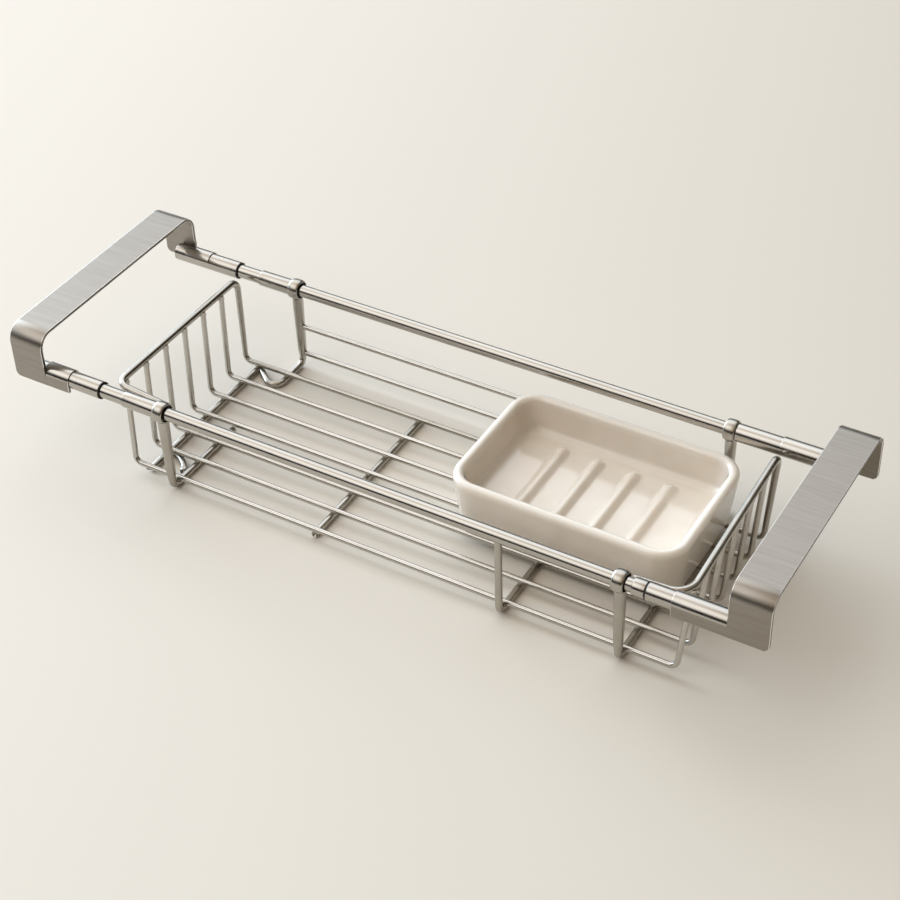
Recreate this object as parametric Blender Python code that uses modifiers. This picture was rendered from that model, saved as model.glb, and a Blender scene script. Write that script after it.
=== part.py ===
"""Over-sink caddy: a wire basket hung from two rails, a sliding end bracket at each end, and a soap dish.

Lengths are in metres. The long way of the caddy is X, the front is -Y, and it stands on Z = 0.
"""

import math

import bmesh
import bpy
from mathutils import Matrix, Vector

MM = 0.001

# Overall layout
basket_length = 283.4 * MM
rail_spacing = 135.0 * MM
rail_height = 56.9 * MM
left_plate_reach = 77.8 * MM
right_plate_reach = 59.6 * MM

# Clearances
seat_gap = 0.2 * MM
weld_gap = 0.3 * MM
stop_gap = 0.3 * MM
cut_overrun = 1.0 * MM

# Rails and the turned fittings in their ends
rail_radius = 3.7 * MM
rail_bore_radius = 2.7 * MM
right_front_rail_stretch = 4.4 * MM
spigot_radius = 2.4 * MM
spigot_length = 12.0 * MM
shaft_radius = 4.1 * MM
left_collar_radius = 4.8 * MM
left_collar_length = 22.0 * MM
stop_collar_radius = 4.9 * MM
stop_collar_length = 7.2 * MM
neck_radius = 3.3 * MM
shaft_head_length = 1.4 * MM
shaft_chamfer = 0.5 * MM

# Sleeves of the brackets, with their bushes and glides
sleeve_radius = 5.2 * MM
sleeve_bore_radius = 4.8 * MM
sleeve_end_wall = 1.2 * MM
sleeve_end_inset = 13.0 * MM
left_sleeve_reach = 40.8 * MM
bush_bore_radius = 4.3 * MM
bush_flange_radius = 5.3 * MM
bush_flange_length = 1.2 * MM
bush_skirt_length = 3.2 * MM
glide_radius = 4.6 * MM
glide_length = 6.0 * MM

# Bracket strips
strip_width = 22.4 * MM
strip_thickness = 2.0 * MM
strip_top_height = 83.9 * MM
strip_bend_radius = 10.0 * MM
strip_corner_radius = 3.5 * MM
strip_edge_round = 0.35 * MM
strip_skin = 0.5 * MM
leg_drop = 6.0 * MM
left_tongue_length = 16.0 * MM
right_tongue_length = 29.9 * MM
tongue_step = 0.04 * MM
tongue_root = 1.2 * MM

# Hangers
ring_radius = 6.25 * MM
ring_bore_radius = 5.1 * MM
ring_width = 5.5 * MM
ring_edge_round = 1.0 * MM
ring_bush_radius = 4.9 * MM
ring_bush_bore_radius = 3.95 * MM
ring_bush_recess = 0.3 * MM
hanger_radius = 2.5 * MM
hanger_bend_radius = 5.0 * MM
hanger_taper_length = 5.0 * MM
hanger_end_inset = 7.5 * MM

# Wires under the floor
foot_wire_radius = 2.05 * MM
end_cross_wire_reach = 21.0 * MM
end_cross_wire_front_inset = 3.5 * MM
end_cross_wire_rear_inset = 17.0 * MM
centre_cross_wire_reach = 93.8 * MM
centre_cross_wire_front_inset = 4.5 * MM
centre_cross_wire_rear_inset = 14.1 * MM
mid_post_reach = 213.6 * MM
mid_post_tail_length = 45.5 * MM
foot_loop_radius = 5.5 * MM
foot_loop_tail_length = 22.5 * MM
arch_link_inset = 25.4 * MM

# Floor wires and the rim wire
floor_wire_radius = 1.65 * MM
floor_corner_radius = 4.5 * MM
front_floor_wire_inset = 5.0 * MM
rear_floor_wire_inset = 19.0 * MM
left_floor_reach = 29.5 * MM
right_floor_reach = 30.6 * MM
rim_wire_radius = 2.15 * MM
rim_rise = 1.6 * MM
rim_run_inset = 7.6 * MM
rim_lean = 8.4 * MM
left_rim_reach = 38.3 * MM
right_rim_reach = 30.8 * MM
left_rim_bend_radius = 7.0 * MM
right_rim_bend_radius = 11.0 * MM
rear_rim_bend_radius = 6.0 * MM
upright_inset = 1.8 * MM
side_wire_radius = 1.6 * MM
upper_side_wire_drop = 27.0 * MM
lower_side_wire_drop = 47.0 * MM

# Soap dish
dish_length = 140.0 * MM
dish_depth = 93.0 * MM
dish_height = 36.3 * MM
dish_corner_radius = 17.0 * MM
dish_inner_corner_radius = 8.0 * MM
dish_rim_width = 6.2 * MM
dish_end_gap = 16.7 * MM
dish_rear_gap = 4.5 * MM
dish_draft = 4.0 * MM
dish_inner_draft = 3.0 * MM
dish_bowl_depth = 19.0 * MM
dish_floor_fillet = 6.0 * MM
dish_foot_width = 5.0 * MM
dish_foot_round = 1.6 * MM
dish_recess_depth = 9.0 * MM
dish_recess_draft = 3.0 * MM
rib_pitch = 22.1 * MM
rib_length = 56.0 * MM
rib_width = 7.6 * MM
rib_height = 2.6 * MM

# Counts and angles
floor_wires = 7
ribs = 4
turned_steps = 24
bend_steps = 5
rim_steps = 6
rib_steps = 12
rib_rows = 7
wire_resolution = 2
loop_sweep = math.radians(130)
arch_sweep = math.radians(60)
roll_sweep = math.radians(150)
sharp_angle = math.radians(35)
flat_angle = math.radians(1)

# Places worked out from the sizes
overall_length = left_plate_reach + basket_length + right_plate_reach + 2 * strip_width
left_ring_x = left_plate_reach + strip_width - overall_length / 2
right_ring_x = left_ring_x + basket_length
rail_y = rail_spacing / 2
ring_half = ring_width / 2
foot_level = foot_wire_radius
floor_seat = 2 * foot_wire_radius + weld_gap
floor_level = floor_seat + floor_wire_radius
rim_level = rail_height + rim_rise
rim_run_y = rim_run_inset - rail_y
front_floor_wire_y = front_floor_wire_inset - rail_y
rear_floor_wire_y = rail_y - rear_floor_wire_inset
floor_wire_pitch = (rear_floor_wire_y - front_floor_wire_y) / (floor_wires - 1)
rim_rear_y = rear_floor_wire_y + rim_lean
strip_face_y = rail_y + sleeve_radius + seat_gap + strip_skin
groove_radius = sleeve_radius + seat_gap
leg_bottom = rail_height - leg_drop
dish_x = right_ring_x + right_floor_reach - dish_end_gap - dish_length / 2
dish_y = rail_y - dish_rear_gap - dish_depth / 2
dish_bottom = floor_level + floor_wire_radius + stop_gap
neck_length = glide_length + 2 * seat_gap

# Finishes: colour, roughness, metallic
satin_steel = ((0.62, 0.60, 0.57), 0.24, 1.0)
brushed_steel = ((0.58, 0.56, 0.53), 0.36, 1.0)
black_nylon = ((0.02, 0.02, 0.02), 0.45, 0.0)
cream_glaze = ((0.76, 0.70, 0.61), 0.16, 0.0)


def clear_scene():
    for scene_object in list(bpy.data.objects):
        bpy.data.objects.remove(scene_object, do_unlink=True)


def new_collection(name):
    collection = bpy.data.collections.new(name)
    bpy.context.scene.collection.children.link(collection)
    return collection


def finish(scene_object, look):
    """Gives the piece its own material."""
    colour, roughness, metallic = look
    material = bpy.data.materials.new(scene_object.name + "_finish")
    material.use_nodes = True
    shader = material.node_tree.nodes["Principled BSDF"]
    shader.inputs["Base Color"].default_value = (*colour, 1.0)
    shader.inputs["Roughness"].default_value = roughness
    shader.inputs["Metallic"].default_value = metallic
    material.diffuse_color = (*colour, 1.0)
    scene_object.data.materials.clear()
    scene_object.data.materials.append(material)


def arc(centre_u, centre_v, radius, start, sweep, steps):
    """Points of a round stretch in a plane, both ends included."""
    points = []
    for step in range(steps + 1):
        angle = start + sweep * step / steps
        points.append((centre_u + radius * math.cos(angle), centre_v + radius * math.sin(angle)))
    return points


def rounded_path(corners, bend_radii, steps=bend_steps):
    """The route of a bent wire through its corners, each bend an arc of its own radius."""
    route = [Vector(corners[0])]
    for index, bend_radius in enumerate(bend_radii, start=1):
        corner = Vector(corners[index])
        back = (Vector(corners[index - 1]) - corner).normalized()
        ahead = (Vector(corners[index + 1]) - corner).normalized()
        half_angle = back.angle(ahead) / 2
        middle = (back + ahead).normalized()
        centre = corner + middle * (bend_radius / math.sin(half_angle))
        start = corner + back * (bend_radius / math.tan(half_angle)) - centre
        turn = math.pi - 2 * half_angle
        axis = ahead.cross(back)
        for step in range(steps + 1):
            route.append(centre + Matrix.Rotation(turn * step / steps, 3, axis) @ start)
    route.append(Vector(corners[-1]))
    return route


def wire(name, route, radius, look, shares=None):
    """A round wire along its route. Shares thin it at single points."""
    curve = bpy.data.curves.new(name, "CURVE")
    curve.dimensions = "3D"
    curve.bevel_depth = radius
    curve.bevel_resolution = wire_resolution
    curve.use_fill_caps = True
    spline = curve.splines.new("POLY")
    spline.points.add(len(route) - 1)
    for index, place in enumerate(route):
        spline.points[index].co = (*place, 1.0)
        spline.points[index].radius = 1.0 if shares is None else shares[index]
    spline.use_smooth = True
    piece = bpy.data.objects.new(name, curve)
    parts.objects.link(piece)
    finish(piece, look)
    return piece


def turned(name, profile, place, outward, look, closed=False, collection=None):
    """A turned piece on an axis along X. The profile holds (radius, distance outward) pairs."""
    mesh = bpy.data.meshes.new(name)
    edges = [(index, index + 1) for index in range(len(profile) - 1)]
    if closed:
        edges.append((len(profile) - 1, 0))
    mesh.from_pydata([(radius, 0, along) for radius, along in profile], edges, [])
    piece = bpy.data.objects.new(name, mesh)
    (collection or parts).objects.link(piece)
    piece.location = place
    piece.rotation_euler = (0, outward * math.pi / 2, 0)
    screw = piece.modifiers.new("turn", "SCREW")
    screw.steps = turned_steps
    screw.render_steps = turned_steps
    screw.use_merge_vertices = True
    screw.merge_threshold = seat_gap / turned_steps
    screw.use_smooth_shade = True
    if look is not None:
        finish(piece, look)
    return piece


def flat_mesh(name, outline, thickness, place):
    """A plate with its outline in the YZ plane, centred on its place and as thick as given along X."""
    curve = bpy.data.curves.new(name, "CURVE")
    curve.dimensions = "2D"
    curve.fill_mode = "BOTH"
    curve.extrude = thickness / 2
    spline = curve.splines.new("POLY")
    spline.points.add(len(outline) - 1)
    for index, (across, up) in enumerate(outline):
        spline.points[index].co = (across, up, 0, 1)
    spline.use_cyclic_u = True
    drawn = bpy.data.objects.new(name + "_outline", curve)
    parts.objects.link(drawn)
    standing = Matrix(((0, 0, 1, 0), (1, 0, 0, 0), (0, 1, 0, 0), (0, 0, 0, 1)))
    drawn.matrix_world = Matrix.Translation(place) @ standing
    bpy.context.view_layer.update()
    evaluated = drawn.evaluated_get(bpy.context.evaluated_depsgraph_get())
    mesh = bpy.data.meshes.new_from_object(evaluated)
    mesh.transform(drawn.matrix_world)
    bpy.data.objects.remove(drawn, do_unlink=True)
    shape = bmesh.new()
    shape.from_mesh(mesh)
    bmesh.ops.remove_doubles(shape, verts=shape.verts, dist=seat_gap / turned_steps)
    bmesh.ops.dissolve_limit(shape, angle_limit=flat_angle, verts=shape.verts, edges=shape.edges)
    bmesh.ops.recalc_face_normals(shape, faces=shape.faces)
    shape.to_mesh(mesh)
    shape.free()
    mesh.name = name
    return mesh


def as_cutter(piece):
    piece.hide_render = True
    piece.display_type = "WIRE"
    return piece


def boolean(piece, other, operation):
    """Joins or cuts with another mesh."""
    modifier = piece.modifiers.new(operation.lower(), "BOOLEAN")
    modifier.operation = operation
    modifier.solver = "EXACT"
    modifier.object = other


def shade_by_angle(mesh):
    mesh.shade_smooth()
    mesh.set_sharp_from_angle(angle=sharp_angle)


# Rails


def rail(name, side, right_end_x):
    left_end_x = left_ring_x - ring_half
    length = right_end_x - left_end_x
    profile = [
        (rail_bore_radius, 0),
        (rail_bore_radius, length),
        (rail_radius, length),
        (rail_radius, 0),
    ]
    turned(name, profile, (left_end_x, side * rail_y, rail_height), 1, satin_steel, closed=True)


def rail_end(name, side, start_x, outward, collar, shaft_end_x):
    """The turned fitting in a rail's end: a spigot in the bore, a collar, and the shaft for the sleeve."""
    collar_radius, collar_length = collar
    length = abs(shaft_end_x - start_x)
    neck_end = length - shaft_head_length
    neck_start = neck_end - neck_length
    profile = [
        (0, length),
        (shaft_radius - shaft_chamfer, length),
        (shaft_radius, length - shaft_chamfer),
        (shaft_radius, neck_end),
        (neck_radius, neck_end),
        (neck_radius, neck_start),
        (shaft_radius, neck_start),
    ]
    if collar_length:
        profile += [
            (shaft_radius, collar_length),
            (collar_radius - shaft_chamfer, collar_length),
            (collar_radius, collar_length - shaft_chamfer),
            (collar_radius, 0),
        ]
    else:
        profile += [(shaft_radius, 0)]
    profile += [
        (spigot_radius, 0),
        (spigot_radius, -spigot_length),
        (0, -spigot_length),
    ]
    turned(name, profile, (start_x, side * rail_y, rail_height), outward, satin_steel)
    glide_x = start_x + outward * (neck_start + seat_gap)
    glide_bore = neck_radius + seat_gap
    glide_profile = [
        (glide_bore, 0),
        (glide_bore, glide_length),
        (glide_radius, glide_length),
        (glide_radius, 0),
    ]
    glide_name = name.replace("rail_end", "glide")
    glide_place = (glide_x, side * rail_y, rail_height)
    turned(glide_name, glide_profile, glide_place, outward, black_nylon, closed=True)


# Hangers


def hanger_ring(name, x, side):
    """The eyelet on the rail that carries the hanger, with its edges rounded, and the bush inside it."""
    inner = ring_radius - ring_edge_round
    upper = arc(inner, ring_half - ring_edge_round, ring_edge_round, math.pi / 2, -math.pi / 2, 3)
    lower = arc(inner, ring_edge_round - ring_half, ring_edge_round, 0, -math.pi / 2, 3)
    profile = [(ring_bore_radius, -ring_half), (ring_bore_radius, ring_half)] + upper + lower
    place = (x, side * rail_y, rail_height)
    turned(name, profile, place, 1, satin_steel, closed=True)
    bush_half = ring_half - ring_bush_recess
    bush_profile = [
        (ring_bush_bore_radius, -bush_half),
        (ring_bush_bore_radius, bush_half),
        (ring_bush_radius, bush_half),
        (ring_bush_radius, -bush_half),
    ]
    turned(name + "_bush", bush_profile, place, 1, black_nylon, closed=True)


def hanger_shares(route):
    """Full gauge down the shank, then the lighter gauge of the wires under the floor."""
    taper_middle = foot_level + hanger_bend_radius + hanger_taper_length / 2
    foot_share = foot_wire_radius / hanger_radius
    return [1.0 if place.z > taper_middle else foot_share for place in route]


def shank_top(x, side):
    """The shank's upper end and the point where it starts to thin."""
    top = (x, side * rail_y, rail_height - ring_radius - weld_gap)
    thinning = (x, side * rail_y, foot_level + hanger_bend_radius + hanger_taper_length)
    return [Vector(top), Vector(thinning)]


def straight_hanger(name, x, side):
    """A shank that turns under the floor wires and runs towards the middle."""
    corner = (x, side * rail_y, foot_level)
    end = (x, side * hanger_end_inset, foot_level)
    upper = shank_top(x, side)
    route = upper[:1] + rounded_path([upper[1], corner, end], [hanger_bend_radius])
    wire(name, route, hanger_radius, satin_steel, hanger_shares(route))


def looped_hanger(name, x, cross_x):
    """The rear left shank: its tail curls round and comes back to the end cross wire."""
    loop_y = rail_y - foot_loop_tail_length
    corner = (x, rail_y, foot_level)
    end = (x, loop_y, foot_level)
    upper = shank_top(x, 1)
    route = upper[:1] + rounded_path([upper[1], corner, end], [hanger_bend_radius])
    curl = arc(x - foot_loop_radius, loop_y, foot_loop_radius, 0, -loop_sweep, 2 * bend_steps)
    route += [Vector((u, v, foot_level)) for u, v in curl[1:]]
    heading = Vector((-math.sin(loop_sweep), -math.cos(loop_sweep), 0))
    stand_off = 2 * foot_wire_radius + weld_gap - foot_wire_radius * (1 - abs(heading.y))
    run = (route[-1].x - cross_x - stand_off) / abs(heading.x)
    route.append(route[-1] + heading * run)
    wire(name, route, hanger_radius, satin_steel, hanger_shares(route))


# Wires under the floor


def cross_wires():
    end_x = left_ring_x - end_cross_wire_reach
    front_y = end_cross_wire_front_inset - rail_y
    rear_y = rail_y - end_cross_wire_rear_inset
    ends = [(end_x, front_y, foot_level), (end_x, rear_y, foot_level)]
    wire("end_cross_wire", ends, foot_wire_radius, satin_steel)
    centre_cross_wire()
    mid_post()
    arch_link(end_x)


def centre_cross_wire():
    """The cross wire under the middle of the floor, with rounded ends."""
    dome = arc(0, 0, foot_wire_radius, math.pi / 2, -math.pi / 2, bend_steps)
    dome[0] = (0, foot_wire_radius)
    wire_length = rail_spacing - centre_cross_wire_front_inset - centre_cross_wire_rear_inset
    straight = wire_length - 2 * foot_wire_radius
    profile = [(u, v + straight) for u, v in dome] + [(u, -v) for u, v in reversed(dome)]
    front_y = centre_cross_wire_front_inset - rail_y + foot_wire_radius
    place = (left_ring_x + centre_cross_wire_reach, front_y, foot_level)
    piece = turned("centre_cross_wire", profile, place, 1, satin_steel)
    piece.rotation_euler = (-math.pi / 2, 0, 0)


def mid_post():
    """The post under the front rail, turned back under the floor wires."""
    x = left_ring_x + mid_post_reach
    corners = [
        (x, -rail_y, rail_height - rail_radius - weld_gap),
        (x, -rail_y, foot_level),
        (x, mid_post_tail_length - rail_y, foot_level),
    ]
    wire("mid_post", rounded_path(corners, [hanger_bend_radius]), foot_wire_radius, satin_steel)


def arch_link(cross_x):
    """The bowed wire from the front left hanger's tail to the end cross wire."""
    end_x = cross_x + 2 * foot_wire_radius + weld_gap - foot_wire_radius
    start_x = left_ring_x - foot_wire_radius - weld_gap - foot_wire_radius * math.sin(arch_sweep)
    bow = (start_x - end_x) / math.sin(arch_sweep)
    bow_y = arch_link_inset - rail_y - bow
    points = arc(end_x, bow_y, bow, math.pi / 2 - arch_sweep, arch_sweep, 2 * bend_steps)
    wire("arch_link", [(u, v, foot_level) for u, v in points], foot_wire_radius, satin_steel)


# Basket wires


def floor_wire(name, y):
    """A floor wire with its two uprights, which end under the rim wire."""
    top = rim_level - rim_wire_radius - weld_gap
    lean = rim_lean * (top - floor_level) / (rim_level - floor_level)
    corners = [
        (left_ring_x - left_rim_reach + upright_inset, y + lean, top),
        (left_ring_x - left_floor_reach, y, floor_level),
        (right_ring_x + right_floor_reach, y, floor_level),
        (right_ring_x + right_rim_reach, y + lean, top),
    ]
    wire(name, rounded_path(corners, [floor_corner_radius] * 2), floor_wire_radius, satin_steel)


def rim_wire():
    """One long wire: front run, side bar, down the rear corner, across the floor, and the same back up."""
    left_bar_x = left_ring_x - left_rim_reach
    right_bar_x = right_ring_x + right_rim_reach
    corners = [
        (left_ring_x - ring_half - weld_gap, rim_run_y, rim_level),
        (left_bar_x, rim_run_y, rim_level),
        (left_bar_x, rim_rear_y, rim_level),
        (left_ring_x - left_floor_reach, rear_floor_wire_y, floor_level),
        (right_ring_x + right_floor_reach, rear_floor_wire_y, floor_level),
        (right_bar_x, rim_rear_y, rim_level),
        (right_bar_x, rim_run_y, rim_level),
        (right_ring_x + ring_half + weld_gap, rim_run_y, rim_level),
    ]
    bends = [
        left_rim_bend_radius,
        rear_rim_bend_radius,
        floor_corner_radius,
        floor_corner_radius,
        rear_rim_bend_radius,
        right_rim_bend_radius,
    ]
    route = rounded_path(corners, bends)
    thick_above = rim_level - rear_rim_bend_radius / 2
    floor_share = floor_wire_radius / rim_wire_radius
    shares = [1.0 if place.z > thick_above else floor_share for place in route]
    wire("rim_wire", route, rim_wire_radius, satin_steel, shares)


def side_wire(name, drop):
    reach = hanger_radius + weld_gap
    level = rail_height - drop
    ends = [(left_ring_x + reach, rail_y, level), (right_ring_x - reach, rail_y, level)]
    wire(name, ends, side_wire_radius, satin_steel)


# Brackets


def strip_outline():
    """The bracket's section: a flat top, two round bends and two legs."""
    bend_y = strip_face_y - strip_bend_radius
    bend_z = strip_top_height - strip_bend_radius
    outside = arc(bend_y, bend_z, strip_bend_radius, math.pi / 2, -math.pi / 2, 2 * bend_steps)
    inside = arc(bend_y, bend_z, strip_bend_radius - strip_thickness, 0, math.pi / 2, 2 * bend_steps)
    half = outside + [(strip_face_y, leg_bottom), (strip_face_y - strip_thickness, leg_bottom)] + inside
    return half + [(-u, v) for u, v in reversed(half)]


def tongue_outline(side):
    """The leg's tongue: a flat skirt whose upper edge is rolled over the sleeve."""
    outer_face = strip_face_y - tongue_step
    inner_face = strip_face_y - strip_thickness + tongue_step
    roll = arc(rail_y, rail_height, outer_face - rail_y, 0, roll_sweep, 2 * bend_steps)
    low = leg_bottom + tongue_step
    outline = [(inner_face, low), (outer_face, low)] + roll + [(rail_y, rail_height - tongue_step)]
    outline += [(inner_face, rail_height - tongue_step)]
    return [(side * u, v) for u, v in outline]


def middle_of(edge):
    return (edge.verts[0].co + edge.verts[1].co) / 2


def round_leg_corners(shape, corner_x):
    """Rounds the legs' lower outer corners."""
    corners = []
    for edge in shape.edges:
        middle = middle_of(edge)
        along = abs(edge.verts[0].co.y - edge.verts[1].co.y)
        low = abs(middle.z - leg_bottom) < seat_gap
        outer = abs(middle.x - corner_x) < seat_gap
        if low and outer and along > seat_gap:
            corners.append(edge)
    bmesh.ops.bevel(
        shape, geom=corners, offset=strip_corner_radius, segments=bend_steps, profile=0.5, affect="EDGES"
    )


def round_edges(shape, bare_x, bare_top):
    """Breaks the sharp edges, but not those where a tongue joins the leg."""
    sharp = []
    for edge in shape.edges:
        middle = middle_of(edge)
        bare = abs(middle.x - bare_x) < seat_gap and middle.z < bare_top
        if edge.calc_face_angle(0) > sharp_angle and not bare:
            sharp.append(edge)
    bmesh.ops.bevel(shape, geom=sharp, offset=strip_edge_round, segments=2, profile=0.5, affect="EDGES")


def bracket_strip(name, inner_x, outward, tongue_length, sleeve_end_x):
    """The bent strip with its two tongues, grooved for the sleeves."""
    middle_x = inner_x + outward * strip_width / 2
    mesh = flat_mesh(name, strip_outline(), strip_width, (middle_x, 0, 0))
    tongue_top = strip_face_y - rail_y + rail_height + cut_overrun
    shape = bmesh.new()
    shape.from_mesh(mesh)
    round_leg_corners(shape, inner_x + outward * strip_width)
    everything = shape.verts[:] + shape.edges[:] + shape.faces[:]
    bmesh.ops.bisect_plane(shape, geom=everything, plane_co=(0, 0, tongue_top), plane_no=(0, 0, 1))
    round_edges(shape, inner_x, tongue_top)
    shape.to_mesh(mesh)
    shape.free()
    strip = bpy.data.objects.new(name, mesh)
    parts.objects.link(strip)
    finish(strip, brushed_steel)
    tongue_end_x = inner_x - outward * tongue_length
    root_x = inner_x + outward * tongue_root
    cut_start_x = tongue_end_x - outward * cut_overrun
    cut_length = abs(sleeve_end_x - cut_start_x) + seat_gap
    for side, word in ((-1, "front"), (1, "rear")):
        place = ((root_x + tongue_end_x) / 2, 0, 0)
        tongue_name = f"{name}_{word}_tongue"
        tongue_mesh = flat_mesh(tongue_name, tongue_outline(side), tongue_length + tongue_root, place)
        shape = bmesh.new()
        shape.from_mesh(tongue_mesh)
        round_edges(shape, root_x, tongue_top)
        shape.to_mesh(tongue_mesh)
        shape.free()
        tongue = bpy.data.objects.new(tongue_name, tongue_mesh)
        cutters.objects.link(as_cutter(tongue))
        boolean(strip, tongue, "UNION")
    for side, word in ((-1, "front"), (1, "rear")):
        profile = [(0, cut_length), (groove_radius, cut_length), (groove_radius, 0), (0, 0)]
        place = (cut_start_x, side * rail_y, rail_height)
        groove = turned(f"{name}_{word}_groove", profile, place, outward, None, collection=cutters)
        boolean(strip, as_cutter(groove), "DIFFERENCE")
    shade_by_angle(strip.data)
    return strip


def sleeve(name, side, mouth_x, end_x, outward):
    """The tube that slides on the shaft, closed at its outer end, and the bush in its mouth."""
    start_x = mouth_x + outward * (bush_flange_length + seat_gap)
    length = abs(end_x - start_x)
    profile = [
        (0, sleeve_end_wall),
        (sleeve_bore_radius, sleeve_end_wall),
        (sleeve_bore_radius, length),
        (sleeve_radius, length),
        (sleeve_radius, 0),
        (0, 0),
    ]
    turned(name, profile, (end_x, side * rail_y, rail_height), -outward, satin_steel)
    skirt_radius = sleeve_bore_radius - seat_gap
    bush_length = bush_flange_length + bush_skirt_length
    bush_profile = [
        (bush_bore_radius, 0),
        (bush_bore_radius, bush_length),
        (bush_flange_radius, bush_length),
        (bush_flange_radius, bush_skirt_length),
        (skirt_radius, bush_skirt_length),
        (skirt_radius, 0),
    ]
    bush_name = name.replace("sleeve", "mouth_bush")
    bush_place = (mouth_x + outward * bush_length, side * rail_y, rail_height)
    turned(bush_name, bush_profile, bush_place, -outward, black_nylon, closed=True)


# Soap dish


def dish_rows():
    """The dish's section, from under its floor round the foot, up the wall, over the rim, down the bowl."""
    foot_inner = dish_draft + dish_foot_width
    rows = [(foot_inner + dish_recess_draft, dish_recess_depth)]
    rows += arc(foot_inner - dish_foot_round, dish_foot_round, dish_foot_round, 0, -math.pi / 2, 2)
    foot_outer = dish_draft + dish_foot_round
    rows += arc(foot_outer, dish_foot_round, dish_foot_round, -math.pi / 2, -math.pi / 2, 2)
    rim_half = dish_rim_width / 2
    rows += arc(rim_half, dish_height - rim_half, rim_half, math.pi, -math.pi, rim_steps)
    bowl_floor = dish_height - dish_bowl_depth
    fillet_inset = dish_rim_width + dish_inner_draft + dish_floor_fillet
    fillet_level = bowl_floor + dish_floor_fillet
    rows += arc(fillet_inset, fillet_level, dish_floor_fillet, math.pi, math.pi / 2, 3)
    return rows


def rounded_rectangle(inset, level):
    """One loop of points round the dish, inset from its rim's outline."""
    corner = max(dish_corner_radius - inset, dish_inner_corner_radius)
    reach_x = dish_length / 2 - inset - corner
    reach_y = dish_depth / 2 - inset - corner
    loop = []
    for quarter in range(4):
        start = quarter * math.pi / 2
        sign_x = 1 if quarter in (0, 3) else -1
        sign_y = 1 if quarter in (0, 1) else -1
        for u, v in arc(sign_x * reach_x, sign_y * reach_y, corner, start, math.pi / 2, bend_steps):
            loop.append(Vector((u, v, level)))
    return loop


def dish_body():
    shape = bmesh.new()
    loops = []
    for inset, level in dish_rows():
        loops.append([shape.verts.new(place) for place in rounded_rectangle(inset, level)])
    count = len(loops[0])
    for lower, upper in zip(loops, loops[1:]):
        for index in range(count):
            after = (index + 1) % count
            shape.faces.new((lower[index], lower[after], upper[after], upper[index]))
    shape.faces.new(loops[0])
    shape.faces.new(loops[-1])
    bmesh.ops.recalc_face_normals(shape, faces=shape.faces)
    mesh = bpy.data.meshes.new("soap_dish")
    shape.to_mesh(mesh)
    shape.free()
    return mesh


def rib_body(name, x):
    """A long rounded rib across the bowl's floor: a ball stretched along Y and pressed flat."""
    shape = bmesh.new()
    lying = Matrix.Rotation(math.pi / 2, 4, "X")
    bmesh.ops.create_uvsphere(
        shape, u_segments=rib_steps, v_segments=rib_rows, radius=rib_width / 2, matrix=lying
    )
    straight = (rib_length - rib_width) / 2
    for vertex in shape.verts:
        vertex.co.x += x
        vertex.co.y += math.copysign(straight, vertex.co.y)
        vertex.co.z *= rib_height / (rib_width / 2)
        vertex.co.z += dish_height - dish_bowl_depth
    mesh = bpy.data.meshes.new(name)
    shape.to_mesh(mesh)
    shape.free()
    return mesh


def soap_dish():
    dish = bpy.data.objects.new("soap_dish", dish_body())
    parts.objects.link(dish)
    dish.location = (dish_x, dish_y, dish_bottom)
    finish(dish, cream_glaze)
    for index in range(ribs):
        name = f"soap_dish_rib_{index + 1}"
        rib = bpy.data.objects.new(name, rib_body(name, (index - (ribs - 1) / 2) * rib_pitch))
        cutters.objects.link(as_cutter(rib))
        rib.location = dish.location
        boolean(dish, rib, "UNION")
    shade_by_angle(dish.data)


# Assembly

clear_scene()
parts = new_collection("sink_caddy")
cutters = new_collection("cutters")
cutters.hide_render = True

left_plate_x = left_ring_x - left_plate_reach
right_plate_x = right_ring_x + right_plate_reach
left_sleeve_end_x = left_plate_x - strip_width + sleeve_end_inset
right_sleeve_end_x = right_plate_x + strip_width - sleeve_end_inset
left_mouth_x = left_ring_x - left_sleeve_reach
left_collar_x = left_ring_x - ring_half - weld_gap
left_slide_in = left_collar_x - left_collar_length - stop_gap - left_mouth_x
left_shaft_end_x = left_sleeve_end_x + sleeve_end_wall + left_slide_in + stop_gap
right_shaft_end_x = right_sleeve_end_x - sleeve_end_wall - stop_gap
front_collar_x = right_ring_x + ring_half + right_front_rail_stretch + weld_gap
front_mouth_x = front_collar_x + stop_collar_length + stop_gap
rear_shaft_x = right_ring_x + ring_half + weld_gap
rear_mouth_x = right_ring_x + ring_half + stop_gap
left_collar = (left_collar_radius, left_collar_length)
stop_collar = (stop_collar_radius, stop_collar_length)
no_collar = (0, 0)

rail("front_rail", -1, front_collar_x - weld_gap)
rail("rear_rail", 1, rear_shaft_x - weld_gap)
rail_end("front_left_rail_end", -1, left_collar_x, -1, left_collar, left_shaft_end_x)
rail_end("rear_left_rail_end", 1, left_collar_x, -1, left_collar, left_shaft_end_x)
rail_end("front_right_rail_end", -1, front_collar_x, 1, stop_collar, right_shaft_end_x)
rail_end("rear_right_rail_end", 1, rear_shaft_x, 1, no_collar, right_shaft_end_x)

hanger_ring("front_left_ring", left_ring_x, -1)
hanger_ring("rear_left_ring", left_ring_x, 1)
hanger_ring("front_right_ring", right_ring_x, -1)
hanger_ring("rear_right_ring", right_ring_x, 1)
straight_hanger("front_left_hanger", left_ring_x, -1)
straight_hanger("front_right_hanger", right_ring_x, -1)
straight_hanger("rear_right_hanger", right_ring_x, 1)
looped_hanger("rear_left_hanger", left_ring_x, left_ring_x - end_cross_wire_reach)
cross_wires()

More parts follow.
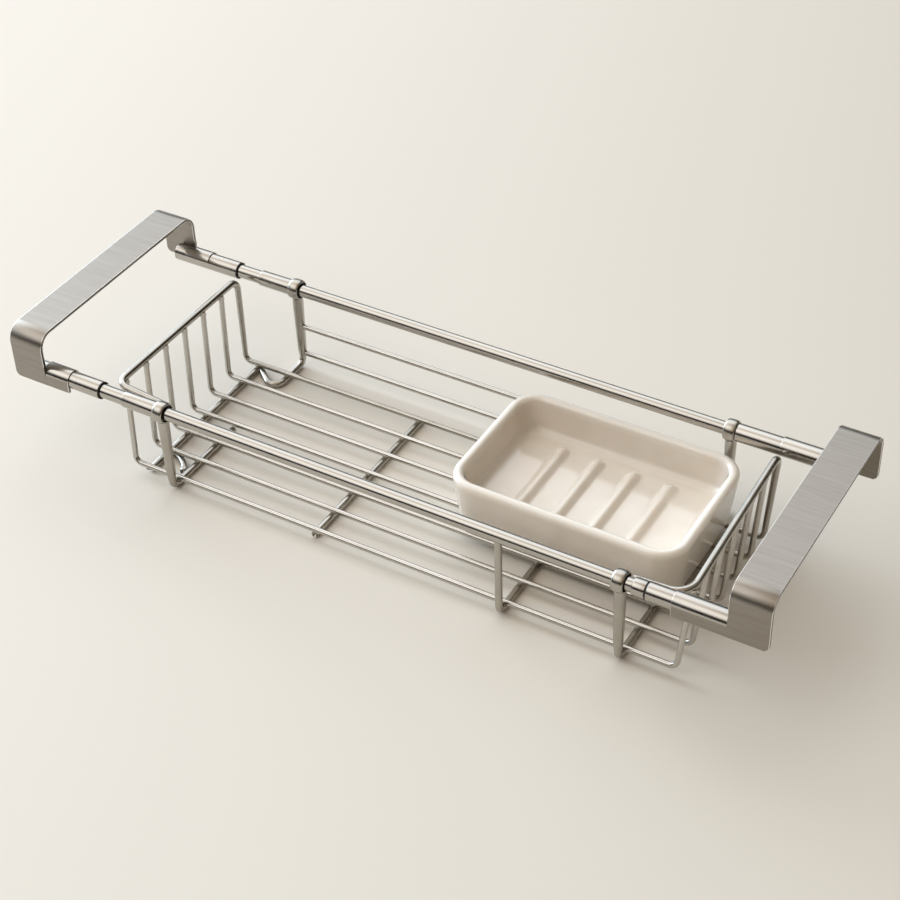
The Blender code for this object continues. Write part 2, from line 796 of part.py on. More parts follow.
for number in range(1, floor_wires):
    floor_wire(f"floor_wire_{number}", front_floor_wire_y + (number - 1) * floor_wire_pitch)
rim_wire()
side_wire("upper_side_wire", upper_side_wire_drop)
side_wire("lower_side_wire", lower_side_wire_drop)

bracket_strip("left_bracket_strip", left_plate_x, -1, left_tongue_length, left_sleeve_end_x)
bracket_strip("right_bracket_strip", right_plate_x, 1, right_tongue_length, right_sleeve_end_x)
sleeve("front_left_sleeve", -1, left_mouth_x, left_sleeve_end_x, -1)
sleeve("rear_left_sleeve", 1, left_mouth_x, left_sleeve_end_x, -1)
sleeve("front_right_sleeve", -1, front_mouth_x, right_sleeve_end_x, 1)
sleeve("rear_right_sleeve", 1, rear_mouth_x, right_sleeve_end_x, 1)

soap_dish()
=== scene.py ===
import math

import bmesh
import bpy
from mathutils import Matrix, Vector


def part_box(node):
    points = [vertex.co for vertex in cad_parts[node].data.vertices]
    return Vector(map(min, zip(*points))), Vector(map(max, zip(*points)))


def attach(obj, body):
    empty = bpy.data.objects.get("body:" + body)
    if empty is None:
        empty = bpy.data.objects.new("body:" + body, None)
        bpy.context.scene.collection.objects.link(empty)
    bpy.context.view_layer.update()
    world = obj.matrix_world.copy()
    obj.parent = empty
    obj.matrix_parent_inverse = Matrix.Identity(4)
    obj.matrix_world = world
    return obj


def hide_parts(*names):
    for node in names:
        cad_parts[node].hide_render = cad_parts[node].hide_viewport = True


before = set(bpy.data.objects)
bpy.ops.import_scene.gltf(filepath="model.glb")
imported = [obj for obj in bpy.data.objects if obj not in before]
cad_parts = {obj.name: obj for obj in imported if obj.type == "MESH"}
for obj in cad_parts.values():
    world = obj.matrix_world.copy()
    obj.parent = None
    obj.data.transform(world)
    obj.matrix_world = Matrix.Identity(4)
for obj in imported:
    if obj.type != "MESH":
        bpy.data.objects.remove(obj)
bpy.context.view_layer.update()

# Looks of the sink caddy: polished wires and tubes, brushed end brackets and a glazed soap dish.
# Lengths are in metres, in the frame's axes: +X along the rails, -Y to the front, +Z up.

MM = 0.001

# Sizes of the wires
floor_radius = 1.65 * MM
foot_radius = 2.05 * MM
rim_radius = 2.15 * MM
side_radius = 1.6 * MM
shank_radius = 3.3 * MM
shank_foot_radius = 2.5 * MM
taper_length = 5.0 * MM
taper_lead_share = 1.6
floor_bend = 4.5 * MM
foot_bend = 5.0 * MM
cross_trim = 3.6 * MM
left_floor_reach = 29.5 * MM
right_floor_reach = 30.6 * MM
rear_floor_inset = 19.0 * MM
upright_inset = 1.8 * MM
loop_radius = 5.5 * MM
loop_tail = 22.5 * MM
loop_sweep = math.radians(130)
arch_sweep = math.radians(60)
arch_inset = 25.4 * MM

# Sizes of the rim
left_rim_reach = 36.5 * MM
right_rim_reach = 31.8 * MM
right_corner_out = 2.0 * MM
right_corner_drop = 3.0 * MM
right_rear_rise = 1.8 * MM
left_run_drop = 3.6 * MM
right_run_drop = 4.5 * MM
run_gap = 3.6 * MM
left_rim_bend = 7.0 * MM
right_rim_bend = 11.0 * MM
rear_rim_bend = 6.0 * MM
rim_rise = 1.6 * MM
rim_run_inset = 7.6 * MM
rim_lean = 8.4 * MM

# Sizes of the welds
weld_gap = 0.3 * MM
weld_radius = 1.5 * MM
weld_height_share = 0.8
upright_weld_shares = (1.15, 1.3, 1.0)

# Sizes of the turned pieces
collar_length = 22.0 * MM
stop_collar_length = 7.2 * MM
shaft_neck_radius = 3.3 * MM
shaft_head_length = 1.4 * MM
neck_length = 6.4 * MM
spigot_radius = 2.4 * MM
spigot_length = 12.0 * MM
turned_round = 0.45 * MM
rail_bore_radius = 2.7 * MM
ring_bore_radius = 5.1 * MM
ring_width = 6.8 * MM
ring_fullness = 2.6
sleeve_bore_radius = 4.8 * MM
sleeve_end_wall = 1.2 * MM
sleeve_round = 0.3 * MM
lip_length = 0.55 * MM
lip_round = 0.15 * MM
lip_seat_gap = 0.05 * MM
bush_bore_radius = 4.3 * MM

# Sizes of the bracket strips
strip_width = 22.4 * MM
strip_thickness = 2.0 * MM
strip_bend = 10.0 * MM
strip_corner = 3.5 * MM
strip_edge_round = 0.3 * MM
tongue_root = 1.2 * MM
tongue_step = 0.04 * MM
groove_radius = 5.4 * MM
roll_sweep = math.radians(150)
seat_gap = 0.2 * MM
cut_overrun = 1.0 * MM
flat_area = 60 * MM * MM

# Limits on the parts of a face's normal that tell a strip's surfaces apart
thin_side_limit = 0.2
flat_side_limit = 0.98
tongue_end_limit = 0.5
sheared_limit = 0.97
rounded_limit = 0.12

# Sizes of the soap dish
dish_corner = 17.0 * MM
dish_inner_corner = 8.0 * MM
dish_rim_width = 6.2 * MM
dish_draft = 4.0 * MM
dish_inner_draft = 3.0 * MM
dish_bowl_depth = 19.0 * MM
dish_fillet = 6.0 * MM
dish_foot_width = 5.0 * MM
dish_foot_round = 1.6 * MM
dish_recess_depth = 9.0 * MM
dish_recess_draft = 3.0 * MM
dish_grid = 1.0 * MM
rib_pitch = 22.1 * MM
rib_length = 58.0 * MM
rib_width = 9.6 * MM
rib_height = 2.6 * MM
rib_fullness = 1.6

# Counts
ribs = 4
floor_wires = 6
wire_sides = 20
turned_sides = 64
bend_steps = 12
end_steps = 4
taper_steps = 4
ring_steps = 24
corner_steps = 10
edge_steps = 4
strip_edge_steps = 3
foot_round_steps = 5
rim_round_steps = 16
fillet_steps = 8

# Limits on angles and directions, and distances below which points are one
lengthwise_limit = 0.5
smooth_limit = math.radians(40)
strip_smooth_limit = math.radians(20)
strip_round_limit = math.radians(35)
flat_limit = math.radians(0.4)
turned_merge = 0.001 * MM
strip_merge = 0.002 * MM
dish_merge = 0.01 * MM

# Places read off the frame
left_ring_low, left_ring_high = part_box("front_left_ring")
right_ring_low, right_ring_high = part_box("rear_right_ring")
dish_low, dish_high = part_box("soap_dish")
left_x = (left_ring_low.x + left_ring_high.x) / 2
right_x = (right_ring_low.x + right_ring_high.x) / 2
front_y = (left_ring_low.y + left_ring_high.y) / 2
rear_y = (right_ring_low.y + right_ring_high.y) / 2
rail_z = (left_ring_low.z + left_ring_high.z) / 2
ring_radius = (left_ring_high.z - left_ring_low.z) / 2
foot_z = foot_radius
floor_z = 2 * foot_radius + weld_gap + floor_radius
rim_z = rail_z + rim_rise
rear_floor_y = rear_y - rear_floor_inset
rim_rear_y = rear_floor_y + rim_lean
rim_front_y = front_y + rim_run_inset
dish_steps_x = round((dish_high.x - dish_low.x - 2 * dish_corner) / dish_grid)
dish_steps_y = round((dish_high.y - dish_low.y - 2 * dish_corner) / dish_grid)


def loose_object(name, shape):
    """An object of the scene with a shape that is used up."""
    mesh = bpy.data.meshes.new(name)
    shape.to_mesh(mesh)
    shape.free()
    piece = bpy.data.objects.new(name, mesh)
    bpy.context.scene.collection.objects.link(piece)
    return piece


def riding_object(name, shape, body):
    """A finished, smooth object that rides on a body."""
    bmesh.ops.recalc_face_normals(shape, faces=shape.faces)
    piece = loose_object(name, shape)
    piece.data.shade_smooth()
    piece.data.set_sharp_from_angle(angle=smooth_limit)
    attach(piece, body)
    return piece


def dress(piece, material, slot, *nodes):
    """Gives a piece its material and hides the nodes that it stands in for."""
    piece.data.materials.append(material)
    if nodes:
        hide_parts(*nodes)


def skin(shape, rings):
    """Joins each ring of vertices to the next with faces."""
    for lower, upper in zip(rings, rings[1:]):
        for index in range(len(lower)):
            after = (index + 1) % len(lower)
            shape.faces.new((lower[index], lower[after], upper[after], upper[index]))


def arc(centre_u, centre_v, radius, start, sweep, steps):
    """Points of a round stretch in a plane, both ends included."""
    points = []
    for step in range(steps + 1):
        angle = start + sweep * step / steps
        points.append((centre_u + radius * math.cos(angle), centre_v + radius * math.sin(angle)))
    return points


def rounded_path(corners, bends):
    """The route of a bent wire through its corners, each bend an arc of its own radius."""
    route = [Vector(corners[0])]
    for index, bend in enumerate(bends, start=1):
        corner = Vector(corners[index])
        back = (Vector(corners[index - 1]) - corner).normalized()
        ahead = (Vector(corners[index + 1]) - corner).normalized()
        half_angle = back.angle(ahead) / 2
        middle = (back + ahead).normalized()
        centre = corner + middle * (bend / math.sin(half_angle))
        start = corner + back * (bend / math.tan(half_angle)) - centre
        turn = math.pi - 2 * half_angle
        axis = ahead.cross(back)
        for step in range(bend_steps + 1):
            route.append(centre + Matrix.Rotation(turn * step / bend_steps, 3, axis) @ start)
    route.append(Vector(corners[-1]))
    return route


def clamped(share):
    """A share held between none and all."""
    return min(max(share, 0), 1)


# Wires


def hollow_end(tip, inward, radius):
    """Stations of the conical hollow in a wire's end, from its bottom out to the tip."""
    stations = []
    for step in range(end_steps):
        part = math.sin(math.pi / 2 * (step + 1) / (end_steps + 1))
        stations.append((tip + inward * (radius * (1 - part)), inward, radius * part))
    return stations


def swept(shape, route, radii):
    """Sweeps a round section along a route, with a hollow in both ends."""
    first = (route[1] - route[0]).normalized()
    last = (route[-1] - route[-2]).normalized()
    stations = hollow_end(route[0], first, radii[0])
    for index, place in enumerate(route):
        before = route[max(index - 1, 0)]
        after = route[min(index + 1, len(route) - 1)]
        heading = (after - before).normalized()
        if index == 0:
            place = place + first * radii[0]
        if index == len(route) - 1:
            place = place - last * radii[-1]
        stations.append((place, heading, radii[index]))
    for place, inward, radius in reversed(hollow_end(route[-1], -last, radii[-1])):
        stations.append((place, -inward, radius))
    across = first.orthogonal().normalized()
    if abs(first.x) < lengthwise_limit:
        across = (Vector((1, 0, 0)) - first * first.x).normalized()
    heading = first
    rings = []
    for place, ahead, radius in stations:
        across = heading.rotation_difference(ahead) @ across
        heading = ahead
        other = heading.cross(across).normalized()
        ring = []
        for side in range(wire_sides):
            angle = 2 * math.pi * side / wire_sides
            reach = across * math.cos(angle) + other * math.sin(angle)
            ring.append(shape.verts.new(place + reach * radius))
        rings.append(ring)
    skin(shape, rings)
    shape.faces.new(rings[0])
    shape.faces.new(rings[-1])


def wire(name, route, radius, node, radii=None):
    """A wire of the basket, of one radius all along or with a radius for each point."""
    shape = bmesh.new()
    swept(shape, route, radii or [radius] * len(route))
    # Thin wires take a lighter copy of the wire steel: a painted highlight that makes their highlights
    # whiter.
    material = thin_wire_steel_painted_highlight if radius < foot_radius else wire_steel
    dress(riding_object(name, shape, "basket"), material, "wire_steel", node)


def left_bar_place(y):
    """Where an upright meets the rim's left side bar."""
    return Vector((left_x - left_rim_reach + upright_inset, y, rim_z))


def right_bar_place(y):
    """A point of the rim's right side bar, which slopes down and outward to the front."""
    share = (rim_rear_y - y) / (rim_rear_y - rim_front_y)
    x = right_x + right_rim_reach + right_corner_out * share
    return Vector((x, y, rim_z + right_rear_rise - (right_rear_rise + right_corner_drop) * share))


def floor_wire(number):
    """A wire of the floor, turned up at both ends to the rim. Gives its place across the floor."""
    node = f"floor_wire_{number}"
    low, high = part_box(node)
    y = low.y + floor_radius
    top_y = high.y - floor_radius
    corners = [
        left_bar_place(top_y),
        (left_x - left_floor_reach, y, floor_z),
        (right_x + right_floor_reach, y, floor_z),
        right_bar_place(top_y),
    ]
    wire(f"floor_rod_{number}", rounded_path(corners, [floor_bend] * 2), floor_radius, node)
    return y


def rim_wire():
    """The long wire of the rim: front run, side bar, down, across the floor and back up."""
    left_bar_x = left_x - left_rim_reach
    corners = [
        (left_x - run_gap, rim_front_y, rim_z - left_run_drop),
        (left_bar_x, rim_front_y, rim_z),
        (left_bar_x, rim_rear_y, rim_z),
        (left_x - left_floor_reach, rear_floor_y, floor_z),
        (right_x + right_floor_reach, rear_floor_y, floor_z),
        right_bar_place(rim_rear_y),
        right_bar_place(rim_front_y),
        (right_x + run_gap, rim_front_y, rim_z - right_run_drop),
    ]
    bends = [left_rim_bend, rear_rim_bend, floor_bend, floor_bend, rear_rim_bend, right_rim_bend]
    route = rounded_path(corners, bends)
    radii = []
    for place in route:
        share = clamped((rim_z - right_run_drop - place.z) / rear_rim_bend)
        radii.append(rim_radius + (floor_radius - rim_radius) * share)
    wire("rim_rod", route, rim_radius, "rim_wire", radii)


def hanger(node, x, y, tail_y, tail=()):
    """A shank under its ring. It narrows all the way down, and more where it turns under the floor."""
    top_z = rail_z - ring_radius + turned_round
    taper_z = foot_z + foot_bend
    route = [Vector((x, y, top_z))]
    for step in range(taper_steps):
        route.append(Vector((x, y, taper_z + taper_length * (taper_lead_share - step / taper_steps))))
    bend_top = (x, y, taper_z + taper_length * (taper_lead_share - 1))
    route += rounded_path([bend_top, (x, y, foot_z), (x, tail_y, foot_z)], [foot_bend])
    route += tail
    radii = []
    for place in route:
        down = clamped((top_z - place.z) / (top_z - foot_z))
        radius = shank_radius + (shank_foot_radius - shank_radius) * down
        thinning = clamped((taper_z + taper_length - place.z) / taper_length)
        radii.append(radius + (foot_radius - radius) * thinning)
    wire(node.replace("hanger", "shank"), route, shank_radius, node, radii)


def straight_hanger(node, x, y):
    """A shank whose foot runs straight in under the floor."""
    low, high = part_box(node)
    hanger(node, x, y, high.y if y < 0 else low.y)


def looped_hanger(node, x, y, cross_x):
    """The rear left shank, whose tail curls round to the end cross wire."""
    loop_y = y - loop_tail
    curl = arc(x - loop_radius, loop_y, loop_radius, 0, -loop_sweep, 2 * bend_steps)
    tail = [Vector((u, v, foot_z)) for u, v in curl[1:]]
    heading = Vector((-math.sin(loop_sweep), -math.cos(loop_sweep), 0))
    tail.append(tail[-1] + heading * ((tail[-1].x - cross_x) / abs(heading.x)))
    hanger(node, x, y, loop_y, tail)


def straight_rod(node, radius, stretch=0.0, trim=0.0):
    """A straight wire along its node's longest side, longer at both ends or shorter at the first."""
    low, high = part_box(node)
    middle = (low + high) / 2
    axis = 0 if high.x - low.x > high.y - low.y else 1
    start = middle.copy()
    end = middle.copy()
    start[axis] = low[axis] - stretch + trim
    end[axis] = high[axis] + stretch
    wire(node.replace("wire", "rod"), [start, middle, end], radius, node)
    return middle.x


def mid_post():
    """The upright under the front rail, turned in under the floor."""
    low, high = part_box("mid_post")
    x = (low.x + high.x) / 2
    corners = [(x, front_y, rail_z), (x, front_y, foot_z), (x, high.y, foot_z)]
    wire("mid_shank", rounded_path(corners, [foot_bend]), foot_radius, "mid_post")
    return x


def arch_link(cross_x):
    """The bowed wire from the front left shank's foot to the end cross wire."""
    start_x = left_x - foot_radius - weld_gap - foot_radius * math.sin(arch_sweep)
    bow = (start_x - cross_x) / math.sin(arch_sweep)
    points = arc(cross_x, front_y + arch_inset - bow, bow, math.pi / 2, -arch_sweep, bend_steps)
    route = [Vector((u, v, foot_z)) for u, v in points]
    route.append(route[-1] + (route[-1] - route[-2]).normalized() * foot_radius)
    wire("arch_rod", route, foot_radius, "arch_link")


def weld(shape, place, spread):
    """A flattened bead of weld at a crossing."""
    made = bmesh.ops.create_icosphere(shape, subdivisions=2, radius=1.0)
    for vertex in made["verts"]:
        vertex.co = Vector(place) + Vector(a * b for a, b in zip(vertex.co, spread))


def welds(crossings, floor_ys):
    """Beads where the floor's wires cross what carries them, and at the tops of its uprights."""
    shape = bmesh.new()
    bead = (weld_radius, weld_radius, weld_radius * weld_height_share)
    bead_z = 2 * foot_radius + weld_gap / 2
    for node, x in crossings.items():
        low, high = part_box(node)
        for y in floor_ys:
            if low.y < y < high.y:
                weld(shape, (x, y, bead_z), bead)
    collar = tuple(floor_radius * share for share in upright_weld_shares)
    for number in range(1, floor_wires + 1):
        low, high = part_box(f"floor_wire_{number}")
        for top in (left_bar_place(high.y - floor_radius), right_bar_place(high.y - floor_radius)):
            weld(shape, top - Vector((0, 0, rim_radius)), collar)
    dress(riding_object("welds", shape, "basket"), wire_steel, "wire_steel")


# Turned pieces


def turned(name, profile, node, outward, material, slot, body, start_x):
    """A turned piece on its node's axis. The profile holds (radius, distance outward) pairs."""
    low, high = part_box(node)
    y = (low.y + high.y) / 2
    z = (low.z + high.z) / 2
    shape = bmesh.new()
    rings = []
    for radius, along in profile:
        x = start_x + outward * along
        ring = []
        for side in range(turned_sides):
            angle = 2 * math.pi * side / turned_sides
            ring.append(shape.verts.new((x, y + radius * math.cos(angle), z + radius * math.sin(angle))))
        rings.append(ring)
    skin(shape, rings + rings[:1])
    bmesh.ops.remove_doubles(shape, verts=shape.verts, dist=turned_merge)
    dress(riding_object(name, shape, body), material, slot, node)


def half_height(node):
    """Half of a node's height, which is its radius where it is turned."""
    low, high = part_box(node)
    return (high.z - low.z) / 2


def far_edge(radius, along, rounding):
    """The rounded outer edge at the far end of a turned step."""
    return arc(radius - rounding, along - rounding, rounding, math.pi / 2, -math.pi / 2, edge_steps)


def near_edge(radius, along, rounding):
    """The rounded outer edge at the near end of a turned step."""
    return arc(radius - rounding, along + rounding, rounding, 0, -math.pi / 2, edge_steps)


def rail(node):
    """The tube of a rail, open at both ends."""
    low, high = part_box(node)
    radius = half_height(node)
    length = high.x - low.x
    profile = [(rail_bore_radius, 0), (rail_bore_radius, length), (radius, length), (radius, 0)]
    turned(node.replace("rail", "tube"), profile, node, 1, rail_steel, "rail_steel", "basket", low.x)


def rail_end(node, outward, collar_radius=0.0, length_of_collar=0.0):
    """The fitting in a rail's end: collar, shaft, and the neck that holds the glide."""
    low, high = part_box(node)
    inner_x = low.x if outward > 0 else high.x
    start_x = inner_x + outward * spigot_length
    length = high.x - low.x - spigot_length
    # The rear right fitting has no collar, so its height is the shaft's.
    shaft_radius = half_height("rear_right_rail_end")
    neck_end = length - shaft_head_length
    neck_start = neck_end - neck_length
    profile = [(0, length)]
    profile += far_edge(shaft_radius, length, turned_round)
    profile += [
        (shaft_radius, neck_end),
        (shaft_neck_radius, neck_end),
        (shaft_neck_radius, neck_start),
        (shaft_radius, neck_start),
        (shaft_radius, length_of_collar),
    ]
    if length_of_collar:
        profile += far_edge(collar_radius, length_of_collar, turned_round)
        profile += near_edge(collar_radius, 0, turned_round)
    profile += [(spigot_radius, 0), (spigot_radius, -spigot_length), (0, -spigot_length)]
    name = node.replace("rail_end", "shaft")
    turned(name, profile, node, outward, rail_steel, "rail_steel", "basket", start_x)


def eyelet(node):
    """The barrel-shaped eyelet on the rail."""
    low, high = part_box(node)
    thickness = ring_radius - ring_bore_radius
    profile = []
    for step in range(ring_steps + 1):
        angle = math.pi * (0.5 - step / ring_steps)
        out = abs(math.cos(angle)) ** (2 / ring_fullness)
        aside = math.copysign(abs(math.sin(angle)) ** (2 / ring_fullness), math.sin(angle))
        profile.append((ring_bore_radius + thickness * out, ring_width / 2 * aside))
    name = node.replace("ring", "eyelet")
    turned(name, profile, node, 1, wire_steel, "wire_steel", "basket", (low.x + high.x) / 2)


def sleeve(node, outward, body):
    """The sliding tube, with the thin dark lip of the bush in its mouth."""
    low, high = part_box(node)
    bush_node = node.replace("sleeve", "mouth_bush")
    bush_low, bush_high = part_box(bush_node)
    radius = half_height(node)
    end_x = high.x if outward > 0 else low.x
    mouth_x = bush_low.x if outward > 0 else bush_high.x
    length = abs(end_x - mouth_x) - lip_length
    profile = [(0, sleeve_end_wall), (sleeve_bore_radius, sleeve_end_wall), (sleeve_bore_radius, length)]
    profile += far_edge(radius, length, sleeve_round)
    profile += near_edge(radius, 0, sleeve_round)
    profile += [(0, 0)]
    turned(node.replace("sleeve", "barrel"), profile, node, -outward, rail_steel, "rail_steel", body, end_x)
    bush_length = bush_high.x - bush_low.x
    skirt_radius = sleeve_bore_radius - seat_gap
    lip_radius = radius - lip_round / 2
    lip_end = lip_length - lip_seat_gap
    profile = [
        (bush_bore_radius + lip_round, 0),
        (bush_bore_radius, lip_round),
        (bush_bore_radius, bush_length),
        (skirt_radius, bush_length),
        (skirt_radius, lip_end),
        (lip_radius, lip_end),
        (lip_radius, lip_round),
        (lip_radius - lip_round, 0),
    ]
    turned(node.replace("sleeve", "mouth_lip"), profile, bush_node, outward, nylon, "nylon", body, mouth_x)


# Brackets


def prism(outline, start_x, end_x):
    """A solid with one outline in the YZ plane from one place to another along X."""
    shape = bmesh.new()
    ends = []
    for x in (start_x, end_x):
        ends.append([shape.verts.new((x, u, v)) for u, v in outline])
        shape.faces.new(ends[-1])
    skin(shape, ends)
    bmesh.ops.recalc_face_normals(shape, faces=shape.faces)
    return shape


def combine(piece, other, operation):
    """Joins or cuts a piece with another, which is used up."""
    modifier = piece.modifiers.new("joined", "BOOLEAN")
    modifier.operation = operation
    modifier.solver = "MANIFOLD"
    modifier.object = other
    depsgraph = bpy.context.evaluated_depsgraph_get()
    mesh = bpy.data.meshes.new_from_object(piece.evaluated_get(depsgraph))
    piece.modifiers.clear()
    piece.data = mesh
    bpy.data.objects.remove(other)


def strip_outline(face_y, leg_z, top_z):
    """The bracket's section: a flat top, two round bends and two legs."""
    bend_y = face_y - strip_bend
    bend_z = top_z - strip_bend
    outside = arc(bend_y, bend_z, strip_bend, math.pi / 2, -math.pi / 2, 2 * bend_steps)
    inside = arc(bend_y, bend_z, strip_bend - strip_thickness, 0, math.pi / 2, 2 * bend_steps)
    half = outside + [(face_y, leg_z), (face_y - strip_thickness, leg_z)] + inside
    return half + [(-u, v) for u, v in reversed(half)]


def tongue_outline(side, face_y, leg_z):
    """The leg's tongue: a flat skirt whose upper edge is rolled over the sleeve."""
    outer_face = face_y - tongue_step
    inner_face = face_y - strip_thickness + tongue_step
    outline = [(inner_face, leg_z + tongue_step), (outer_face, leg_z + tongue_step)]
    outline += arc(rear_y, rail_z, outer_face - rear_y, 0, roll_sweep, 3 * bend_steps)
    outline += [(rear_y, rail_z - tongue_step), (inner_face, rail_z - tongue_step)]
    return [(side * u, v) for u, v in outline]


def groove_cutter(side, start_x, end_x):
    """The round bar that cuts the sleeve's seat."""
    circle = arc(side * rear_y, rail_z, groove_radius, 0, 2 * math.pi, turned_sides)
    return prism(circle[:-1], start_x, end_x)


def middle_of(edge):
    """The point halfway along an edge."""
    return (edge.verts[0].co + edge.verts[1].co) / 2


def round_edges(shape, bare_x, bare_top):
    """Breaks the sharp edges, but not those where a tongue joins the leg."""
    sharp = []
    for edge in shape.edges:
        middle = middle_of(edge)
        bare = abs(middle.x - bare_x) < seat_gap and middle.z < bare_top
        if edge.calc_face_angle(0) > strip_round_limit and not bare:
            sharp.append(edge)
    bmesh.ops.bevel(
        shape, geom=sharp, offset=strip_edge_round, segments=strip_edge_steps, profile=0.5, affect="EDGES"
    )


def round_leg_corners(shape, corner_x, leg_z):
    """Rounds the outer corner of each leg."""
    corners = []
    for edge in shape.edges:
        middle = middle_of(edge)
        along = abs(edge.verts[0].co.y - edge.verts[1].co.y)
        if abs(middle.z - leg_z) < seat_gap and abs(middle.x - corner_x) < seat_gap and along > seat_gap:
            corners.append(edge)
    bmesh.ops.bevel(
        shape, geom=corners, offset=strip_corner, segments=corner_steps, profile=0.5, affect="EDGES"
    )


def merge_flats(mesh):
    """Makes each flat stretch one face again, so that it shades evenly."""
    shape = bmesh.new()
    shape.from_mesh(mesh)
    bmesh.ops.remove_doubles(shape, verts=shape.verts, dist=strip_merge)
    bmesh.ops.dissolve_limit(
        shape, angle_limit=flat_limit, verts=shape.verts, edges=shape.edges, use_dissolve_boundaries=False
    )
    shape.to_mesh(mesh)
    shape.free()


def paint_strip(mesh, leg_z, inner_x, outward):
    """Sheared edges, the rounded rims between them and the rolled tongues have finishes of their own. The
    sheared edges carry painted shade as a dark outline, and the rounded rims a painted highlight.
    """
    mesh.materials.clear()
    for material in (strip_steel, cut_steel_painted_shade, edge_steel_painted_highlight, rail_steel):
        mesh.materials.append(material)
    brushed, sheared, rounded, rolled = range(len(mesh.materials))
    for polygon in mesh.polygons:
        centre = polygon.center
        facing_x = abs(polygon.normal.x)
        facing_y = abs(polygon.normal.y)
        at_corner = centre.z < leg_z + strip_corner and facing_y < thin_side_limit
        on_tongue = (inner_x - centre.x) * outward > tongue_root and centre.z > rail_z
        # Sheared faces and leg corners take the dark steel (painted shade); rounded rims and leg bottoms
        # take the light steel (painted highlight).
        finish = brushed
        if on_tongue and facing_y < flat_side_limit and facing_x < tongue_end_limit:
            finish = rolled
        elif facing_x > sheared_limit or at_corner:
            finish = sheared
        elif facing_x > rounded_limit or centre.z < leg_z + strip_edge_round:
            finish = rounded
        polygon.material_index = finish


def strip(node, sleeve_node, body, outward):
    """A bracket's strip, bent from sheet, with its two tongues rolled over the sleeves."""
    low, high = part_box(node)
    sleeve_low, sleeve_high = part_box(sleeve_node)
    face_y = high.y
    outer_x = high.x if outward > 0 else low.x
    inner_x = outer_x - outward * strip_width
    tongue_x = low.x if outward > 0 else high.x
    root_x = inner_x + outward * tongue_root
    sleeve_x = (sleeve_high.x if outward > 0 else sleeve_low.x) + outward * seat_gap
    tongue_top = face_y - rear_y + rail_z + cut_overrun
    shape = prism(strip_outline(face_y, low.z, high.z), inner_x, outer_x)
    round_leg_corners(shape, outer_x, low.z)
    everything = shape.verts[:] + shape.edges[:] + shape.faces[:]
    bmesh.ops.bisect_plane(shape, geom=everything, plane_co=(0, 0, tongue_top), plane_no=(0, 0, 1))
    round_edges(shape, inner_x, tongue_top)
    piece = loose_object(node.replace("strip", "band"), shape)
    for side in (-1, 1):
        shape = prism(tongue_outline(side, face_y, low.z), root_x, tongue_x)
        round_edges(shape, root_x, tongue_top)
        combine(piece, loose_object("tongue", shape), "UNION")
    for side in (-1, 1):
        cutter = groove_cutter(side, tongue_x - outward * cut_overrun, sleeve_x)
        combine(piece, loose_object("groove", cutter), "DIFFERENCE")
    merge_flats(piece.data)
    piece.data.shade_smooth()
    piece.data.set_sharp_from_angle(angle=strip_smooth_limit)
    for polygon in piece.data.polygons:
        if polygon.area > flat_area:
            polygon.use_smooth = False
    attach(piece, body)
    paint_strip(piece.data, low.z, inner_x, outward)
    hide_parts(node)


# Soap dish


def loop_points(half_x, half_y, corner):
    """One rounded rectangle, with points about a grid step apart on its straight sides."""
    straight_x = half_x - corner
    straight_y = half_y - corner
    points = []
    for quarter in range(4):
        start = quarter * math.pi / 2
        sign_x = 1 if quarter in (0, 3) else -1
        sign_y = 1 if quarter in (0, 1) else -1
        points += arc(sign_x * straight_x, sign_y * straight_y, corner, start, math.pi / 2, corner_steps)
        along_y = quarter in (1, 3)
        steps = dish_steps_y if along_y else dish_steps_x
        for step in range(1, steps):
            share = 1 - 2 * step / steps
            if along_y:
                points.append((sign_x * half_x, sign_y * straight_y * share))
            else:
                points.append((sign_x * straight_x * share, sign_y * half_y))
    return points


def rib_rise(x, y):
    """Height of the ribs above the bowl's floor."""
    nearest = round(x / rib_pitch + (ribs - 1) / 2)
    nearest = min(max(nearest, 0), ribs - 1)
    across = x - (nearest - (ribs - 1) / 2) * rib_pitch
    beyond = max(abs(y) - (rib_length - rib_width) / 2, 0)
    reach = math.hypot(across, beyond) / (rib_width / 2)
    return rib_height * math.cos(math.pi / 2 * min(reach, 1)) ** rib_fullness


def dish_section(height, bowl_floor, half_y):
    """The dish's wall from the recess round the foot and the rim to the bowl, as (inset, level) pairs."""
    quarter = math.pi / 2
    foot_inner = dish_draft + dish_foot_width
    rounding = dish_foot_round
    foot_outer = dish_draft + rounding
    rim_half = dish_rim_width / 2
    fillet_inset = dish_rim_width + dish_inner_draft + dish_fillet
    rows = [(foot_inner + dish_recess_draft, dish_recess_depth)]
    rows += arc(foot_inner - rounding, rounding, rounding, 0, -quarter, foot_round_steps)
    rows += arc(foot_outer, rounding, rounding, -quarter, -quarter, foot_round_steps)
    rows += arc(rim_half, height - rim_half, rim_half, math.pi, -math.pi, rim_round_steps)
    rows += arc(fillet_inset, bowl_floor + dish_fillet, dish_fillet, math.pi, quarter, fillet_steps)
    inset = fillet_inset + dish_grid
    while inset < half_y - dish_grid / 2:
        rows.append((inset, bowl_floor))
        inset += dish_grid
    rows.append((half_y, bowl_floor))
    return rows


